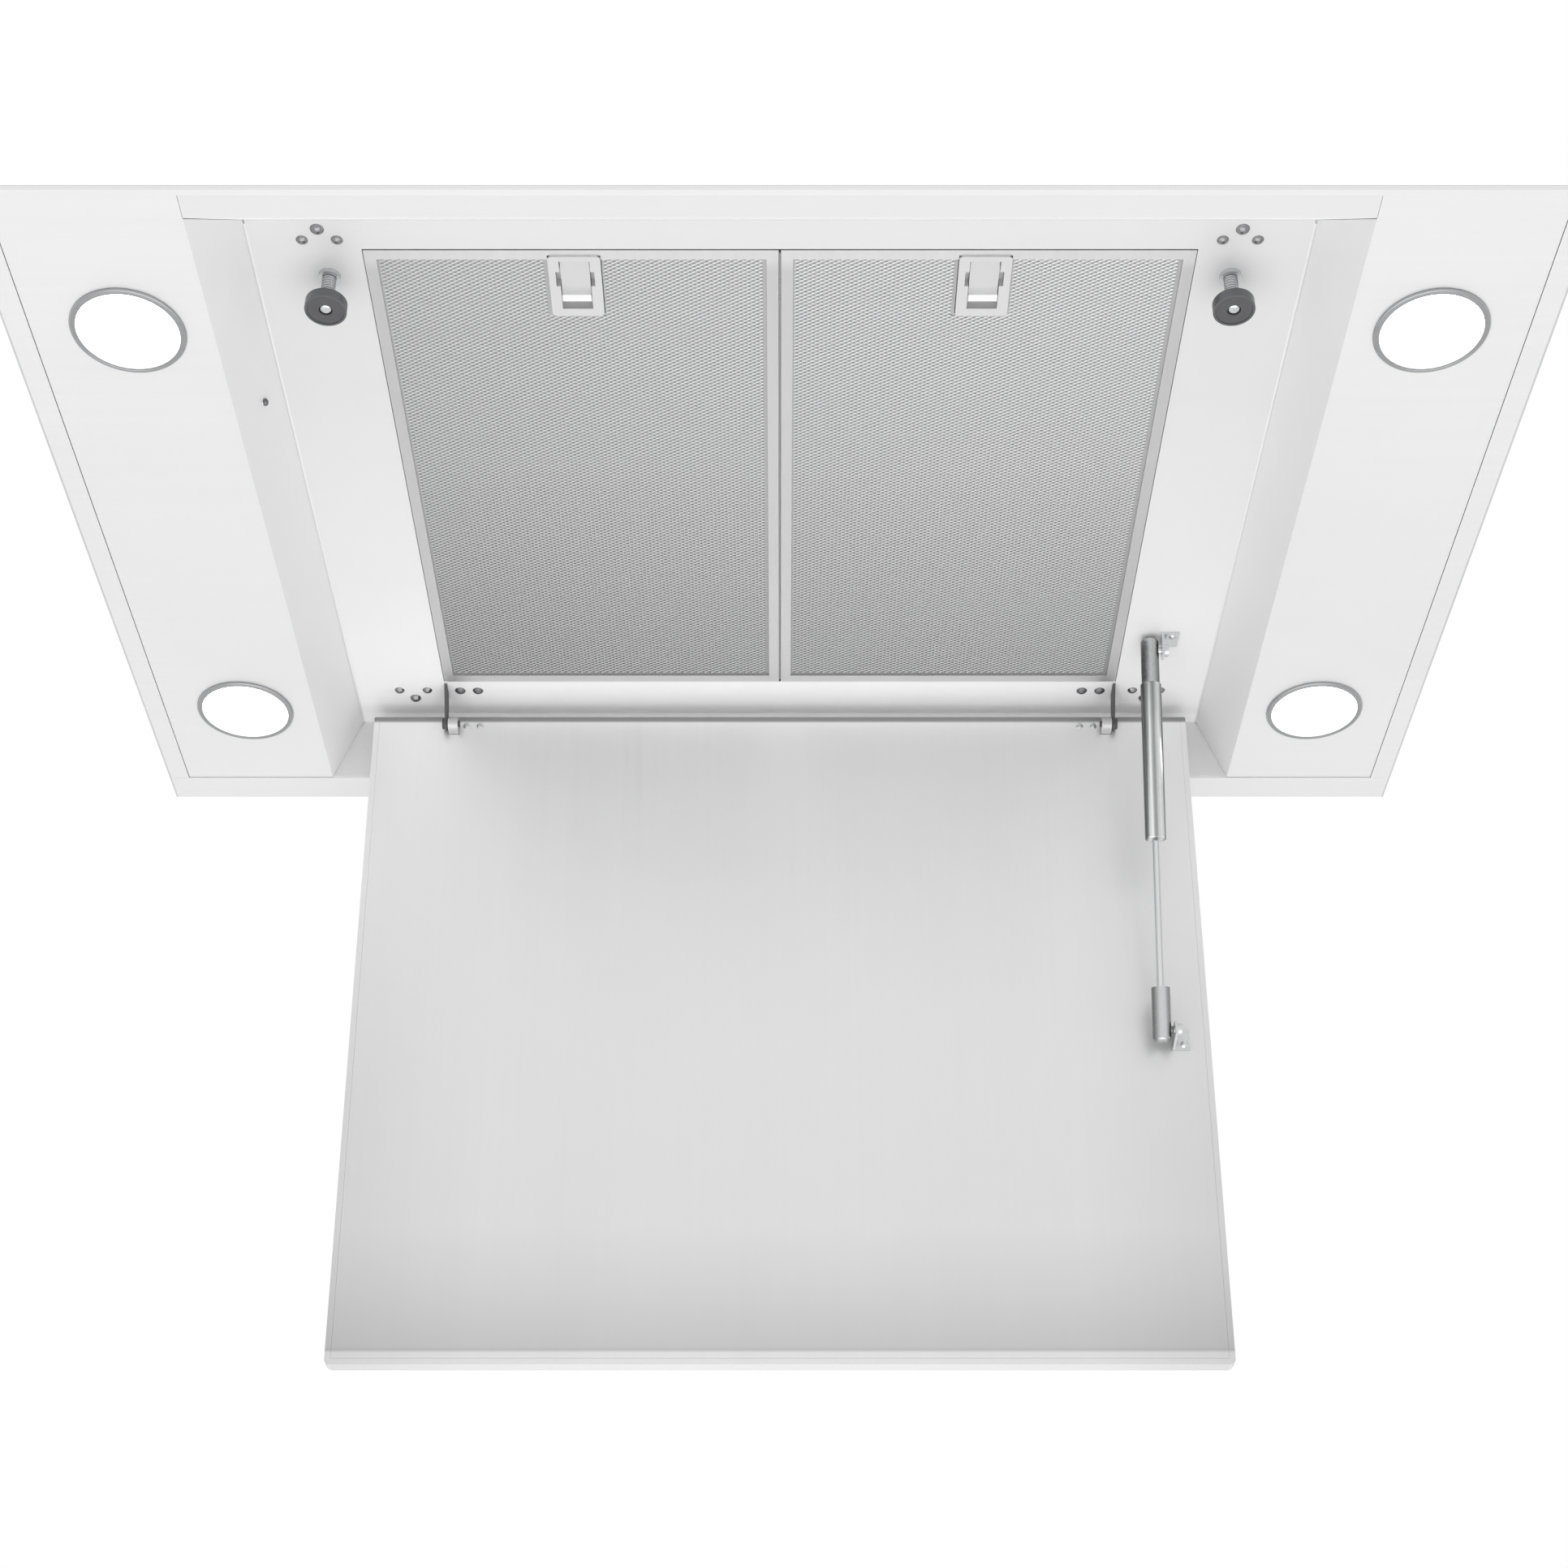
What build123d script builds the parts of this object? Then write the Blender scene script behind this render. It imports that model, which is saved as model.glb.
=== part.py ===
# Under cabinet range hood with a hinged perimeter-suction panel, two mesh
# filters, four recessed lamps and a top-discharge blower.
# Millimetres, +Z up, +X to the right seen from the front, -Y towards the cook.
# Origin: centre of the top mounting plane, midway between the four cabinet
# screw holes. The wall is on the +Y side.
from build123d import *
import math
import os

os.makedirs("parts", exist_ok=True)

# ---- driving dimensions -------------------------------------------------
WIDTH = 760.0            # overall width, a 30 inch class hood
DEPTH = 496.0            # overall depth, front edge to wall
HEIGHT = 150.0           # cabinet underside to the bottom plane
TOP_DEPTH = 317.0        # flat top, behind the sloping fascia
SHEET = 1.0              # body sheet thickness
Y_FRONT = -337.5         # front edge
Y_REAR = Y_FRONT + DEPTH
Z_BOTTOM = -HEIGHT
HEM = 3.0                # height of the front hem
RECESS_H = 42.0          # recess depth above the bottom plane
Z_FLOOR = Z_BOTTOM + RECESS_H   # underside of the recess floor
RECESS_HALF = 278.4      # recess half width at the bottom plane
RECESS_HALF_TOP = 262.0  # recess half width at the floor
RECESS_FRONT = 17.5      # recess front edge, from the front edge
RECESS_FRONT_TOP = 58.0  # front wall meets the floor here
RECESS_REAR = 474.5      # recess rear wall, from the front edge
RIM = 12.0               # side rim width
OPEN_HALF = 207.0        # filter opening half width
OPEN_FRONT = 77.0
OPEN_REAR = 432.0
LAMP_X = 320.0
LAMP_U = (89.8, 404.6)
LAMP_R = 28.0
MAGNET_X = 225.5
MAGNET_U = 95.0
PIVOT_U = 450.0          # panel hinge pin, from the front edge
PIVOT_Z = -127.0
PANEL_HALF = 252.0
ARM0, ARM1 = 205.5, 207.0   # hinge arms, inner and outer faces
PANEL_LEN = 418.0
PANEL_THICK = 12.0
PANEL_IN = 5.0           # inner face below the pin, panel closed
PANEL_BEHIND = 8.0      # panel reaches this far behind the pin
PANEL_SHEET = 0.7
OPEN_ANGLE = 94.0        # panel is stored hanging open by this angle
STRUT_X = 222.0
STRUT_U = 390.0          # upper ball
STRUT_Z = -116.5
STRUT_S = 212.0          # lower ball, down the panel from the pin
STRUT_T = -7.0           # lower ball, on the inner side of the pin line
STRUT_R = 6.2
ROD_R = 2.0
FILTER_Z0 = -108.4
FILTER_Z1 = -98.4
FILTER_BORDER = 6.0
LATCH_X = 102.4
COLLAR_R = 75.0
COLLAR_Y = 60.0
COLLAR_TOP = 38.0
BLOWER_X = -178.0
BLOWER_Y = 10.0
WHEEL_R = 80.0
SCREW_X, SCREW_Y = 310.0, 110.0   # cabinet screw holes, half spacings


def Y(u):
    return Y_FRONT + u


def box(x0, x1, y0, y1, z0, z1):
    return Pos((x0 + x1) / 2, (y0 + y1) / 2, (z0 + z1) / 2) * Box(
        abs(x1 - x0), abs(y1 - y0), abs(z1 - z0))


def cz(x, y, z0, z1, r):
    return Pos(x, y, (z0 + z1) / 2) * Cylinder(r, z1 - z0)


def cx(x0, x1, y, z, r):
    return Pos((x0 + x1) / 2, y, z) * Rot(0, 90, 0) * Cylinder(r, x1 - x0)


def prism_x(pts, x0, x1):
    face = make_face(Polyline(*[(p[0], p[1]) for p in pts], close=True))
    return extrude(Plane.YZ.offset(x0) * face, amount=x1 - x0)


def prism_z(pts, z0, z1):
    face = make_face(Polyline(*[(p[0], p[1]) for p in pts], close=True))
    return extrude(Plane.XY.offset(z0) * face, amount=z1 - z0)


def dome(x, y, z, r, h, down=True):
    """Domed head on a horizontal face at z, bulging down or up."""
    big = (r * r + h * h) / (2 * h)
    if down:
        ball = Pos(x, y, z - h + big) * Sphere(big)
        keep = box(x - r - 1, x + r + 1, y - r - 1, y + r + 1, z - h - 1, z)
    else:
        ball = Pos(x, y, z + h - big) * Sphere(big)
        keep = box(x - r - 1, x + r + 1, y - r - 1, y + r + 1, z, z + h + 1)
    return ball & keep


def mirror_x(shape):
    return mirror(shape, about=Plane.YZ)


NODES = {}


def node(name, *shapes):
    solids = []
    for s in shapes:
        solids += list(s.solids())
    NODES[name] = solids
    shape = solids[0] if len(solids) == 1 else Compound(children=solids)
    shape.label = name
    export_step(shape, f"parts/{name}.step")
    print(name, len(solids), round(sum(s.volume for s in solids) / 1000, 1), "cm3")


# ---- outer shell ---------------------------------------------------------
Y_TOP_FRONT = Y_REAR - TOP_DEPTH
Z_HEM = Z_BOTTOM + HEM
slope_dy = Y_TOP_FRONT - Y_FRONT
slope_dz = -Z_HEM
slope_len = math.hypot(slope_dy, slope_dz)
SLOPE_DEG = math.degrees(math.atan2(slope_dz, slope_dy))
sn = (-slope_dz / slope_len, slope_dy / slope_len)   # outward normal (y, z)
HALF = WIDTH / 2
IN = HALF - SHEET

top = box(-IN, IN, Y_TOP_FRONT + 1.6, Y_REAR - SHEET, -SHEET, 0)
top -= cz(0, COLLAR_Y, -5, 5, COLLAR_R - 1.0)
for sx in (-1, 1):
    for sy in (-1, 1):
        top -= cz(sx * SCREW_X, sy * SCREW_Y, -5, 5, 3.5)
KNOCK = (255.0, 95.0)
top -= cz(KNOCK[0], KNOCK[1], -5, 5, 11.1)
node("top_plate", top)

node("back_plate", box(-IN, IN, Y_REAR - SHEET, Y_REAR, Z_BOTTOM + SHEET, 0))

side_pts = [(Y_FRONT, Z_BOTTOM), (Y_FRONT, Z_HEM), (Y_TOP_FRONT, 0),
            (Y_REAR, 0), (Y_REAR, Z_BOTTOM)]
side = prism_x(side_pts, IN, HALF)
node("side_panels", side, mirror_x(side))


def slope_pt(d, n=0.0):
    """Point d along the fascia from the hem, n below its outer face."""
    return (Y_FRONT + d * slope_dy / slope_len - n * sn[0],
            Z_HEM + d * slope_dz / slope_len - n * sn[1])


BTN_D = 112.0            # buttons, distance up the fascia
BTN_X = (150.0, 182.0, 214.0, 246.0)
fascia = prism_x([slope_pt(0.4), slope_pt(slope_len - 0.3), slope_pt(slope_len - 0.3, SHEET + 0.3),
                  slope_pt(1.2, SHEET)], -IN, IN)
bn = Plane(origin=(0, slope_pt(BTN_D)[0], slope_pt(BTN_D)[1]), x_dir=(1, 0, 0),
           z_dir=(0, sn[0], sn[1]))
for bx in BTN_X:
    fascia -= bn.location * Pos(bx, 0, -1) * Cylinder(10.0, 8)
node("front_fascia", fascia)

hem = box(-IN, IN, Y_FRONT, Y_FRONT + SHEET, Z_BOTTOM, Z_HEM - 0.2)
hem += box(-IN, IN, Y_FRONT, Y(3.6), Z_BOTTOM, Z_BOTTOM + SHEET)
hem += box(-IN, IN, Y_FRONT + 0.6, Y(3.6), Z_BOTTOM, Z_BOTTOM + 1.6)

rim = box(HALF - RIM, IN, Y(3.8), Y(496 - 21.0), Z_BOTTOM, Z_BOTTOM + SHEET)
rim_rear = box(-IN, IN, Y(496 - 20.9), Y_REAR, Z_BOTTOM, Z_BOTTOM + SHEET)
node("rim_flanges", rim, mirror_x(rim), rim_rear, hem)

lp = box(RECESS_HALF + 0.2, HALF - RIM - 0.35, Y(3.8), Y(474.8), Z_BOTTOM + 0.3, Z_BOTTOM + 0.3 + SHEET)
for u in LAMP_U:
    lp -= cz(LAMP_X, Y(u), Z_BOTTOM - 5, Z_BOTTOM + 5, LAMP_R - 2.0)
node("light_panels", lp, mirror_x(lp))

# ---- recess --------------------------------------------------------------
fw = (RECESS_FRONT_TOP - RECESS_FRONT, RECESS_H)
fl = math.hypot(*fw)
nx_, nz_ = fw[1] / fl, -fw[0] / fl       # into the recess: +y, -z
p0 = (Y(RECESS_FRONT), Z_BOTTOM)
p1 = (Y(RECESS_FRONT_TOP), Z_FLOOR)
recess_front = prism_x([(Y(3.8), Z_BOTTOM + 0.3), (p0[0], p0[1] + 0.3), p1, (p1[0] - 0.2, p1[1] + SHEET),
                        (p0[0] - 0.6, Z_BOTTOM + SHEET + 0.3), (Y(3.8), Z_BOTTOM + SHEET + 0.3)],
                       -RECESS_HALF, RECESS_HALF)
node("recess_front", recess_front)

rw = prism_x([(Y(RECESS_REAR), Z_BOTTOM + 1.0), (Y(RECESS_REAR) + SHEET, Z_BOTTOM + 1.0),
              (Y(RECESS_REAR) + SHEET, Z_FLOOR + SHEET), (Y(RECESS_REAR), Z_FLOOR + SHEET)],
             -RECESS_HALF, RECESS_HALF)
node("recess_rear_wall", rw)


def side_wall():
    pts = [(RECESS_HALF, Z_BOTTOM), (RECESS_HALF_TOP, Z_FLOOR + SHEET),
           (RECESS_HALF_TOP + SHEET, Z_FLOOR + SHEET), (RECESS_HALF + 0.15, Z_BOTTOM + 2.0),
           (RECESS_HALF + 0.15, Z_BOTTOM)]
    face = make_face(Polyline(*[(p[0], p[1]) for p in pts], close=True))
    # profile in XZ, run along Y
    w = extrude(Plane(origin=(0, Y(RECESS_FRONT) + 0.2, 0), x_dir=(1, 0, 0), z_dir=(0, -1, 0)) * face,
                amount=-(RECESS_REAR - RECESS_FRONT - 0.4))
    cutter = prism_x([(Y(RECESS_FRONT) - 5, Z_BOTTOM - 5), (p0[0] + 0.15, Z_BOTTOM - 5),
                      (p0[0] + 0.15, Z_BOTTOM), (p1[0] + 0.15 + fw[0] * 0.1, Z_FLOOR + fw[1] * 0.1),
                      (Y(RECESS_FRONT) - 5, Z_FLOOR + fw[1] * 0.1)], 200, 300)
    return w - cutter


sw = side_wall()
rivet_z = Z_BOTTOM + 24.0
rivet_x = RECESS_HALF - (RECESS_HALF - RECESS_HALF_TOP) * 24.0 / (RECESS_H + SHEET)
node("recess_side_walls", sw, mirror_x(sw) + Pos(-rivet_x - 0.5, Y(166.0), rivet_z) * Sphere(1.6))

floor = box(-RECESS_HALF_TOP + 0.2, RECESS_HALF_TOP - 0.2, Y(RECESS_FRONT_TOP) + 0.1, Y(RECESS_REAR) - 0.05,
            Z_FLOOR, Z_FLOOR + SHEET)
floor -= box(-OPEN_HALF, OPEN_HALF, Y(OPEN_FRONT), Y(OPEN_REAR), Z_FLOOR - 5, Z_FLOOR + 5)
for sx in (-1, 1):
    x0, x1 = sorted((sx * (ARM0 - 0.2), sx * (ARM1 + 0.2)))
    floor -= box(x0, x1, Y(433.2), Y(447.2), Z_FLOOR - 5, Z_FLOOR + 5)
node("recess_floor", floor)

# ---- lamps ---------------------------------------------------------------
bezels, lenses, housings = [], [], []
for sx in (-1, 1):
    for u in LAMP_U:
        x, y = sx * LAMP_X, Y(u)
        ring = cz(x, y, Z_BOTTOM - 1.0, Z_BOTTOM + 0.3, LAMP_R) - cz(x, y, Z_BOTTOM - 2, Z_BOTTOM + 2, LAMP_R - 2.6)
        ring = chamfer(ring.edges().filter_by(GeomType.CIRCLE).group_by(Axis.Z)[0].sort_by(SortBy.RADIUS)[-1:], 0.6)
        bezels.append(ring)
        lens = cz(x, y, Z_BOTTOM - 0.55, Z_BOTTOM + 1.3, LAMP_R - 2.7)
        lenses.append(lens)
        h = cz(x, y, Z_BOTTOM + 1.35, Z_BOTTOM + 20, LAMP_R - 2.4)
        for k in range(3):
            h -= cz(x, y, Z_BOTTOM + 7 + 4 * k, Z_BOTTOM + 9 + 4 * k, 40) - cz(x, y, Z_BOTTOM, Z_BOTTOM + 30, 20)
        housings.append(h)
node("lamp_bezels", *bezels)
node("lamp_lenses", *lenses)
node("lamp_housings", *housings)

# ---- magnet catches ------------------------------------------------------
posts, cups, faces = [], [], []
MZ = PIVOT_Z - PANEL_IN + 0.5          # underside of the magnet, clear of the closed panel
for sx in (-1, 1):
    x, y = sx * MAGNET_X, Y(MAGNET_U)
    post = cz(x, y, MZ + 5.0, Z_FLOOR, 3.1)
    for k in range(9):
        post += cz(x, y, MZ + 6.2 + 1.7 * k, MZ + 7.0 + 1.7 * k, 3.6)
    post += cz(x, y, Z_FLOOR - 2.4, Z_FLOOR, 5.6)
    post += cz(x, y, MZ + 1.4, MZ + 5.2, 2.0)
    posts.append(post)
    cup = cz(x, y, MZ, MZ + 5.0, 10.5) - cz(x, y, MZ - 1, MZ + 3.4, 9.3) - cz(x, y, MZ - 1, MZ + 6, 2.1)
    cups.append(cup)
    core = cz(x, y, MZ + 0.25, MZ + 3.35, 9.2) - cz(x, y, MZ - 1, MZ + 6, 3.4)
    faces.append(core)
node("magnet_posts", *posts)
node("magnet_cups", *cups)
node("magnet_cores", *faces)

# ---- fasteners on the recess floor --------------------------------------
heads = []
for sx in (-1, 1):
    for (x, u, r) in ((235.5, 71.0, 3.0), (218.2, 71.0, 3.0), (227.0, 64.0, 3.5),
                      (235.5, 441.0, 3.0), (218.3, 441.0, 3.0), (226.5, 449.0, 3.5)):
        heads.append(dome(sx * x, Y(u), Z_FLOOR, r, 1.7 if r < 3.2 else 2.2))
node("underside_fasteners", *heads)

# ---- panel hinges --------------------------------------------------------
PY, PZ = Y(PIVOT_U), PIVOT_Z


def hinge_bracket():
    flange = box(182.0, ARM1, Y(433.5), Y(446.8), Z_FLOOR + SHEET, Z_FLOOR + SHEET + 1.5)
    arm = prism_x([(Y(433.5), Z_FLOOR + SHEET + 0.5), (Y(446.8), Z_FLOOR + SHEET + 0.5), (Y(446.8), Z_FLOOR), (PY + 4.3, PZ + 1.2), (PY, PZ), (PY - 4.3, PZ + 1.2), (Y(433.5), Z_FLOOR)],
                  ARM0, ARM1)
    arm += cx(ARM0, ARM1, PY, PZ, 4.5)
    b = flange + arm
    b -= cx(ARM0 - 2, ARM1 + 2, PY, PZ, 2.0)
    pin = cx(198.0, ARM1 + 0.1, PY, PZ, 2.0) + cx(ARM1, ARM1 + 1.6, PY, PZ, 3.4)
    return b + pin


hb = hinge_bracket()
node("hinge_brackets", hb, mirror_x(hb))
hs = []
for sx in (-1, 1):
    for x in (187.0, 198.0):
        hs.append(dome(sx * x, Y(441.5), Z_FLOOR, 3.3, 1.8))
node("hinge_screws", *hs)

# ---- hinged panel, drawn closed and swung open about the pin -------------


def swing(shape):
    return Pos(0, PY, PZ) * Rot(OPEN_ANGLE, 0, 0) * Pos(0, -PY, -PZ) * shape


def pbox(x0, x1, s0, s1, t0, t1):
    """Box in panel terms: s forward of the pin, t below it."""
    return box(x0, x1, PY - s1, PY - s0, PZ - t1, PZ - t0)


S0, S1 = -PANEL_BEHIND, PANEL_LEN - PANEL_BEHIND
T0, T1 = PANEL_IN, PANEL_IN + PANEL_THICK
LIP = 3.4
outer = pbox(-PANEL_HALF, PANEL_HALF, S0, S1, T0, T1)
outer = fillet(outer.edges().filter_by(Axis.Z).group_by(Axis.Y)[0], 3.0)
outer = fillet(outer.edges().filter_by(Axis.Z).group_by(Axis.Y)[-1], 0.9)
outer = fillet(outer.faces().sort_by(Axis.Z)[0].edges(), 0.8)
outer -= pbox(-PANEL_HALF + PANEL_SHEET, PANEL_HALF - PANEL_SHEET, S0 + PANEL_SHEET, S1 - PANEL_SHEET,
              T0 + PANEL_SHEET, T1 - PANEL_SHEET)
outer -= pbox(-PANEL_HALF + LIP, PANEL_HALF - LIP, S0 + LIP, S1 - LIP, T0 - 1, T0 + 2)
node("panel_outer", swing(outer))
inner = pbox(-PANEL_HALF + LIP + 0.08, PANEL_HALF - LIP - 0.08, S0 + LIP + 0.08, S1 - LIP - 0.08, T0, T0 + PANEL_SHEET)
for sx in (-1, 1):
    x0, x1 = sorted((sx * 198.7, sx * 205.3))
    inner -= pbox(x0, x1, -4.45, 4.7, T0 - 1, T0 + 1)
stiff = []
for x in (-120.0, 120.0):
    stiff.append(pbox(x - 12, x + 12, S0 + 20, S1 - 20, T0 + PANEL_SHEET, T0 + PANEL_SHEET + 1.0)
                 + pbox(x - 12, x - 11, S0 + 20, S1 - 20, T0 + PANEL_SHEET, T1 - PANEL_SHEET)
                 + pbox(x + 11, x + 12, S0 + 20, S1 - 20, T0 + PANEL_SHEET, T1 - PANEL_SHEET))
node("panel_inner", swing(inner))
node("panel_stiffeners", *[swing(s) for s in stiff])


def hinge_leaf():
    leaf = pbox(182.0, 205.0, -4.2, 14.0, T0 + PANEL_SHEET + 0.02, T0 + PANEL_SHEET + 1.4)
    web = pbox(199.0, 205.0, -4.3, 4.4, 0, T0 + PANEL_SHEET + 0.6)
    barrel = cx(199.0, 205.0, PY, PZ, 4.4)
    return leaf + (web + barrel) - cx(190, 206, PY, PZ, 2.05)


lf = hinge_leaf()
node("panel_hinge_leaves", swing(lf), swing(mirror_x(lf)))
ps = []
for sx in (-1, 1):
    for x in (186.0, 194.5):
        ps.append(swing(dome(sx * x, PY + 1.6, PZ - T0, 2.2, 0.8, down=False)))
node("panel_screws", *ps)

# ---- gas strut -----------------------------------------------------------
c, s_ = math.cos(math.radians(OPEN_ANGLE)), math.sin(math.radians(OPEN_ANGLE))
A = (Y(STRUT_U), STRUT_Z)
b_closed = (-STRUT_S, -STRUT_T)
B = (PY + b_closed[0] * c - b_closed[1] * s_, PZ + b_closed[0] * s_ + b_closed[1] * c)
B0 = (PY + b_closed[0], PZ + b_closed[1])
L_OPEN = math.hypot(B[0] - A[0], B[1] - A[1])
L_SHUT = math.hypot(B0[0] - A[0], B0[1] - A[1])
ang_open = math.atan2(B[1] - A[1], B[0] - A[0])
ang_shut = math.atan2(B0[1] - A[1], B0[0] - A[0])
turn = ang_open - ang_shut
print("strut open %.3f shut %.3f turn %.3f deg  A %s B %s  dir %.5f %.5f" % (
    L_OPEN, L_SHUT, math.degrees(turn), A, B, (B[0] - A[0]) / L_OPEN, (B[1] - A[1]) / L_OPEN))
SP = Plane(origin=(STRUT_X, A[0], A[1]), x_dir=(1, 0, 0), z_dir=(0, B[0] - A[0], B[1] - A[1]))
CYL0, CYL1 = 21.0, 118.0


def lz(x, y, z0, z1, r):
    return Pos(x, y, (z0 + z1) / 2) * Cylinder(r, z1 - z0)


sock = lz(0, 0, -7.2, CYL0, 5.4)
sock = fillet(sock.edges().filter_by(GeomType.CIRCLE).group_by(Axis.Z)[0], 2.4)
sock -= Sphere(4.05)
sock -= Pos(5, 0, 0) * Rot(0, 90, 0) * Cylinder(2.5, 10)
node("strut_top_socket", SP.location * sock)
cyl = lz(0, 0, CYL0, CYL1, STRUT_R)
cyl = fillet(cyl.edges().filter_by(GeomType.CIRCLE), 1.0)
cyl -= lz(0, 0, CYL0 + 2.2, CYL1 - 4.0, STRUT_R - 1.0)
cyl -= lz(0, 0, CYL1 - 5, CYL1 + 1, ROD_R + 0.05)
node("strut_cylinder", SP.location * cyl)
ROD_END = L_OPEN - 25.0
rod = lz(0, 0, CYL1 - 9.6, ROD_END + 8, ROD_R) + lz(0, 0, CYL1 - 9.6, CYL1 - 4.6, STRUT_R - 1.05)
node("strut_rod", SP.location * rod)
rs = lz(0, 0, ROD_END, L_OPEN + 7.2, 5.4)
rs = fillet(rs.edges().filter_by(GeomType.CIRCLE).group_by(Axis.Z)[-1], 2.4)
rs -= lz(0, 0, ROD_END - 1, ROD_END + 8, ROD_R)
rs += Pos(5.6, 0, L_OPEN) * Rot(0, 90, 0) * Cylinder(2.2, 1.6)
node("strut_rod_socket", SP.location * rs)

ub = box(STRUT_X + 7.0, STRUT_X + 17.5, A[0] - 7.5, A[0] + 5.5, Z_FLOOR - 1.5, Z_FLOOR)
ub += prism_x([(A[0] - 7, Z_FLOOR), (A[0] + 5, Z_FLOOR), (A[0] + 4, A[1] - 4), (A[0] - 4, A[1] - 4)],
              STRUT_X + 7.0, STRUT_X + 8.5)
ub += cx(STRUT_X, STRUT_X + 8, A[0], A[1], 2.0)
ub += Pos(STRUT_X, A[0], A[1]) * Sphere(4.0)
ub += cx(STRUT_X + 8.4, STRUT_X + 11.0, A[0], A[1], 3.6)
ub += dome(STRUT_X + 13.6, A[0] - 4.4, Z_FLOOR - 1.5, 2.2, 1.2)
node("strut_top_bracket", ub)

Bx = STRUT_X + 7.2
lb = pbox(Bx, Bx + 10.5, STRUT_S - 5, STRUT_S + 8, T0 - 1.5, T0)
lb += prism_x([(PY - STRUT_S - 8, PZ - T0 + 1.0), (PY - STRUT_S + 5, PZ - T0 + 1.0),
               (PY - STRUT_S + 4, PZ - STRUT_T + 4), (PY - STRUT_S - 4, PZ - STRUT_T + 4)], Bx, Bx + 1.5)
lb += cx(STRUT_X + 6.8, Bx + 0.5, PY - STRUT_S, PZ - STRUT_T, 2.2)
lb += cx(Bx + 1.4, Bx + 4.0, PY - STRUT_S, PZ - STRUT_T, 3.6)
lb += dome(Bx + 6.8, PY - STRUT_S - 4.4, PZ - T0 + 1.5, 2.2, 1.2, down=False)
node("panel_strut_stud", swing(lb))

# ---- filters -------------------------------------------------------------
FU0, FU1 = OPEN_FRONT + 0.5, OPEN_REAR - 0.5
FX0, FX1 = 0.6, OPEN_HALF - 0.45
CUP_X, CUP_U0, CUP_U1 = 13.2, 81.0, 121.0


def filter_frame():
    f = box(FX0, FX1, Y(FU0), Y(FU1), FILTER_Z0, FILTER_Z1)
    f -= box(FX0 + FILTER_BORDER, FX1 - FILTER_BORDER, Y(FU0 + FILTER_BORDER), Y(FU1 - FILTER_BORDER),
             FILTER_Z0 - 1, FILTER_Z1 + 1)
    # channel section: a groove in the inner sides takes the mesh pack
    f -= box(FX0 + 1.2, FX1 - 1.2, Y(FU0 + 1.2), Y(FU1 - 1.2), FILTER_Z0 + 1.2, FILTER_Z1 - 1.2)
    f -= box(LATCH_X - CUP_X - 0.1, LATCH_X + CUP_X + 0.1, Y(CUP_U0 - 0.1), Y(CUP_U1), FILTER_Z0 - 1, FILTER_Z1 - 1.15)
    f -= box(LATCH_X - 6.4, LATCH_X + 6.4, Y(FU0 - 1), Y(CUP_U0 + 1), -106.3, -104.3)
    for x in (50.0, 155.0):
        f += box(x - 9, x + 9, Y(FU1 - 1), Y(FU1 + 5.5), -106.5, -105.5)
    return f


def filter_mesh():
    layers = []
    for z in (FILTER_Z0 + 1.25, FILTER_Z0 + 3.6, FILTER_Z0 + 6.0, FILTER_Z1 - 1.75):
        m = box(FX0 + 1.4, FX1 - 1.4, Y(FU0 + 1.4), Y(FU1 - 1.4), z, z + 0.5)
        m -= box(LATCH_X - CUP_X - 0.3, LATCH_X + CUP_X + 0.3, Y(FU0 - 1), Y(CUP_U1 + 0.3), FILTER_Z0 - 2, FILTER_Z1 + 2)
        layers.append(m)
    return layers


def latch_cup():
    zt = FILTER_Z1 - 1.2
    cup = box(LATCH_X - CUP_X, LATCH_X + CUP_X, Y(CUP_U0), Y(CUP_U1), FILTER_Z0 - 1.0, zt)
    cup = fillet(cup.edges().filter_by(Axis.Z), 2.0)
    cup -= box(LATCH_X - 7.7, LATCH_X + 7.7, Y(CUP_U0 + 3.0), Y(116.0), FILTER_Z0 - 2, -104.2)
    cup -= box(LATCH_X - 9.7, LATCH_X + 9.7, Y(91.0), Y(100.5), FILTER_Z0 - 2, FILTER_Z0 + 4)
    cup -= box(LATCH_X - 6.4, LATCH_X + 6.4, Y(CUP_U0 - 1), Y(CUP_U0 + 4), -106.3, -104.2)
    return cup


def latch_slider():
    z = FILTER_Z0
    sl = box(LATCH_X - 7.3, LATCH_X + 7.3, Y(85.0), Y(110.5), z + 0.6, z + 2.4)
    sl += box(LATCH_X - 7.3, LATCH_X + 7.3, Y(106.0), Y(110.5), z - 1.4, z + 2.4)
    tongue = box(LATCH_X - 6.0, LATCH_X + 6.0, Y(OPEN_FRONT + 0.45), Y(100.0), -106.1, -104.6)
    return sl + tongue


ff, fm, fc, fs = filter_frame(), filter_mesh(), latch_cup(), latch_slider()
node("filter_frame_right", ff)
node("filter_mesh_right", *fm)
node("filter_latch_cup_right", fc)
node("latch_slider_right", fs)
node("filter_frame_left", mirror_x(ff))
node("filter_mesh_left", *[mirror_x(m) for m in fm])
node("filter_latch_cup_left", mirror_x(fc))
node("latch_slider_left", mirror_x(fs))

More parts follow.
